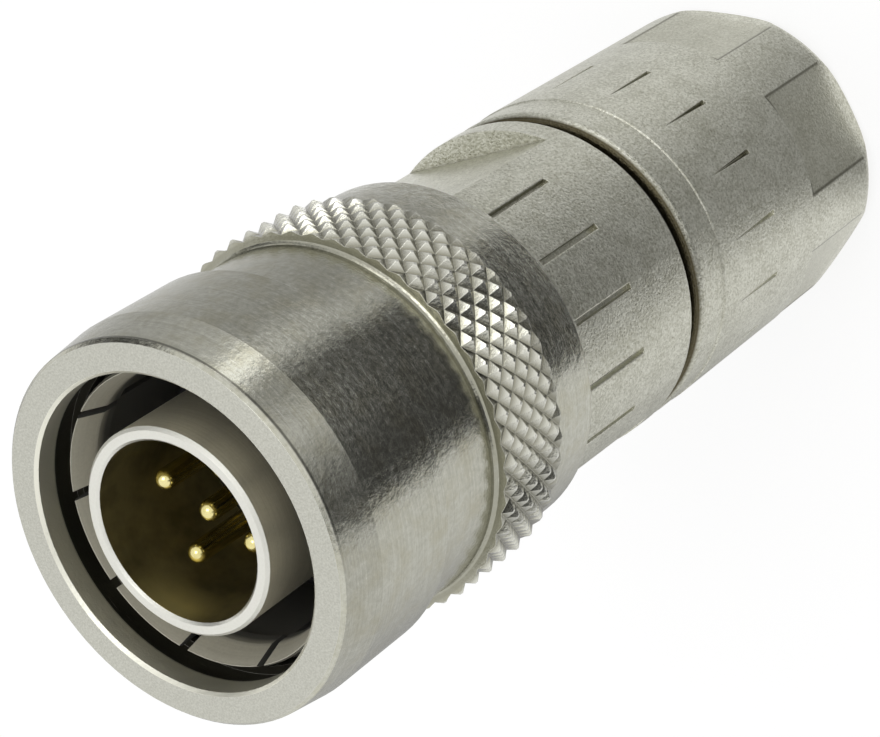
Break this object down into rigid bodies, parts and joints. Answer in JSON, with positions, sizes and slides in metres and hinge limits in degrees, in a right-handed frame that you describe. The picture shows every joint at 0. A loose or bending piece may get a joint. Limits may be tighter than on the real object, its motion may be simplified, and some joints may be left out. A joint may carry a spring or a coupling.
{
  "type": "circular connector",
  "caption": "Push-pull circular cable connector with pin contacts in a round shell, latching fingers, a knurled release sleeve that slides back and a cable gland nut.",
  "frame": {"origin": "centre of the cable end, on the plane the part stands on", "axes": "+Z along the connector's axis towards the mating face, +X towards the coding key, +Y to the left of it"},
  "size_m": [0.0192, 0.0192, 0.0502],
  "materials": {
    "nickel_turned": "turned, satin nickel plating",
    "nickel_cast": "die-cast, grainy satin nickel plating",
    "nickel_latch": "matt nickel plating",
    "nickel_shell": "satin nickel plating over brass",
    "spring_steel": "drawn wire",
    "contact_gold": "gold plating, polished",
    "insert_plastic": "moulded, matt",
    "cage_plastic": "moulded, matt",
    "rubber_black": "moulded"
  },
  "bodies": {
    "housing": {"housing": "nickel_cast", "contact_shell": "nickel_shell", "shell_seal": "rubber_black", "contact_insert": "insert_plastic", "coding_key": "insert_plastic", "contact_pin_1": "contact_gold", "contact_pin_2": "contact_gold", "contact_pin_3": "contact_gold", "contact_pin_4": "contact_gold", "contact_pin_5": "contact_gold", "insert_oring": "rubber_black", "insert_retainer": "insert_plastic", "housing_oring": "rubber_black", "latch_collet": "nickel_latch", "release_spring": "spring_steel", "shield_ring": "nickel_latch", "gland_oring": "rubber_black"},
    "sleeve": {"release_sleeve": "nickel_turned", "retaining_ring": "spring_steel"},
    "clamp": {"clamp_cage": "cage_plastic", "cable_seal": "rubber_black"},
    "nut": {"gland_nut": "nickel_cast"}
  },
  "joints": [
    {"name": "sleeve_slide", "type": "slide", "parent": "housing", "child": "sleeve", "axis": [0, 0, 1], "range_m": [-0.0018, 0], "stiffness_N_per_m": 1500, "springref_m": 0.004, "deforming": ["release_spring"]},
    {"name": "nut_advance", "type": "slide", "parent": "housing", "child": "clamp", "axis": [0, 0, 1], "range_m": [-0.004, 0]},
    {"name": "nut_turn", "type": "hinge", "parent": "clamp", "child": "nut", "pos_m": [0, 0, 0.01], "axis": [0, 0, 1], "range_deg": [-1440, 0]}
  ],
  "couplings": [
    {"joint": "nut_turn", "follows": "nut_advance", "rad_per_m": 6283.2}
  ]
}
